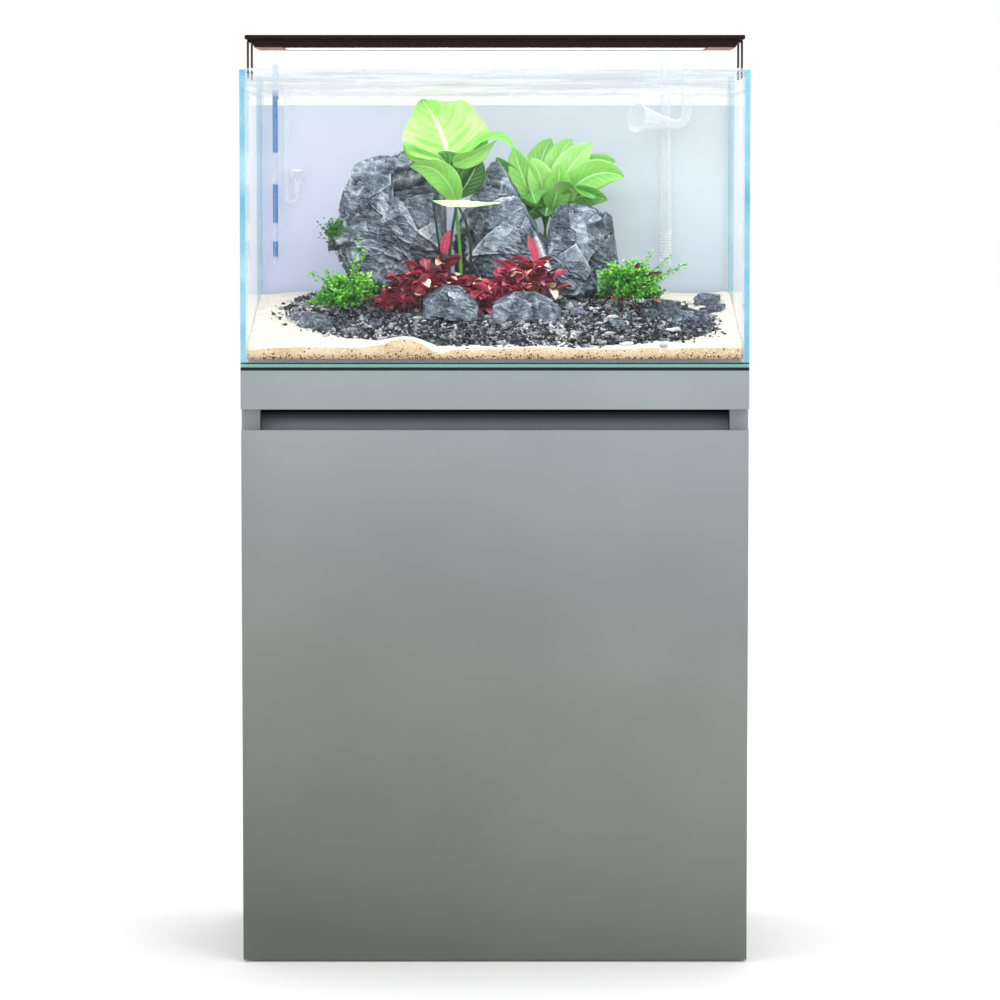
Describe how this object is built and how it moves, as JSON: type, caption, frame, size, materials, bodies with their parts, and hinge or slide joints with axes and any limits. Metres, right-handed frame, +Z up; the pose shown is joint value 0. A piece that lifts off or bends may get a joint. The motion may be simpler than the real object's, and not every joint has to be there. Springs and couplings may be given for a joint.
{
  "type": "aquarium on stand",
  "caption": "Open-top glass aquarium with rocks, gravel and plants, under a slim light bar, on a cabinet with one door and a canister filter inside.",
  "frame": {"origin": "on the floor, below the centre of the object's box", "axes": "+X to the right seen from the front, +Y from the front towards the back, +Z up; the door and the front pane face -Y"},
  "size_m": [0.6, 0.3794, 1.0995],
  "materials": {
    "grey_lacquer": "satin",
    "grey_board": "matte",
    "black_plastic": "matte",
    "grey_plastic": "satin",
    "nickel_plated_steel": "satin",
    "blackened_steel": "satin",
    "clear_glass": "gloss",
    "black_foam": "matte",
    "clear_silicone": "satin",
    "frosted_film": "satin",
    "dark_anodised": "satin",
    "light_lens": "satin",
    "white_circuit_board": "satin",
    "clear_acrylic": "gloss",
    "blue_tube": "gloss",
    "pale_sand": "matte",
    "black_gravel": "matte",
    "grey_stone": "matte",
    "green_leaf": "satin",
    "red_leaf": "satin"
  },
  "bodies": {
    "cabinet": {"side_panel_left": "grey_lacquer", "side_panel_right": "grey_lacquer", "front_fascia": "grey_lacquer", "groove_rail": "grey_lacquer", "top_panel": "grey_board", "bottom_panel": "grey_board", "rear_rail": "grey_board", "back_panel": "grey_board", "glide_front_left": "black_plastic", "glide_front_right": "black_plastic", "glide_back_left": "black_plastic", "glide_back_right": "black_plastic", "filter_can": "black_plastic", "filter_head": "grey_plastic", "hinge_arm_lower": "nickel_plated_steel", "hinge_arm_upper": "nickel_plated_steel", "glass_front": "clear_glass", "glass_back": "clear_glass", "glass_left": "clear_glass", "glass_right": "clear_glass", "glass_bottom": "clear_glass", "outflow_pipe": "clear_glass", "inflow_pipe": "clear_glass", "gas_diffuser": "clear_glass", "levelling_mat": "black_foam", "silicone_seams": "clear_silicone", "background_film": "frosted_film", "gas_riser": "blue_tube", "sand_bed": "pale_sand", "gravel_mound": "black_gravel", "rock_left": "grey_stone", "rock_centre": "grey_stone", "rock_right": "grey_stone", "rock_front_left": "grey_stone", "rock_front_right": "grey_stone", "plant_tall": "green_leaf", "plant_broad": "green_leaf", "bush_left": "green_leaf", "bush_right": "green_leaf", "plant_red_left": "red_leaf", "plant_red_right": "red_leaf"},
    "door": {"door_panel": "grey_lacquer", "hinge_cup_lower": "nickel_plated_steel", "hinge_cup_upper": "nickel_plated_steel"},
    "inner_links": {"hinge_inner_link_lower": "nickel_plated_steel", "hinge_inner_link_upper": "nickel_plated_steel"},
    "outer_links": {"hinge_outer_link_lower": "nickel_plated_steel", "hinge_outer_link_upper": "nickel_plated_steel"},
    "light": {"light_top_plate": "dark_anodised", "light_body": "dark_anodised", "light_lens": "light_lens", "led_board": "white_circuit_board", "light_power_inlet": "nickel_plated_steel", "light_bracket_left": "blackened_steel", "light_bracket_right": "blackened_steel", "light_foot_left": "clear_acrylic", "light_foot_right": "clear_acrylic"},
    "clip_left": {"filter_clip_left": "black_plastic"},
    "clip_right": {"filter_clip_right": "black_plastic"}
  },
  "joints": [
    {"name": "door_swing", "type": "hinge", "parent": "cabinet", "child": "door", "pos_m": [-0.2955, -0.1788, 0.3], "axis": [0, 0, 1], "range_deg": [-105, 0]},
    {"name": "inner_link_swing", "type": "hinge", "parent": "cabinet", "child": "inner_links", "pos_m": [-0.2745, -0.1668, 0.3], "axis": [0, 0, 1], "range_deg": [-105, 0]},
    {"name": "outer_link_swing", "type": "hinge", "parent": "inner_links", "child": "outer_links", "pos_m": [-0.2537, -0.1632, 0.3], "axis": [0, 0, 1], "range_deg": [0, 105]},
    {"name": "light_lift", "type": "slide", "parent": "cabinet", "child": "light", "axis": [0, 0, 1], "range_m": [0, 0.15]},
    {"name": "clip_left_swing", "type": "hinge", "parent": "cabinet", "child": "clip_left", "pos_m": [0.0385, 0.0102, 0.3266], "axis": [0, 1, 0], "range_deg": [0, 60]},
    {"name": "clip_right_swing", "type": "hinge", "parent": "cabinet", "child": "clip_right", "pos_m": [0.2215, 0.0102, 0.3266], "axis": [0, 1, 0], "range_deg": [-60, 0]}
  ],
  "couplings": [
    {"joint": "inner_link_swing", "follows": "door_swing", "ratio": 1},
    {"joint": "outer_link_swing", "follows": "door_swing", "ratio": -1}
  ]
}
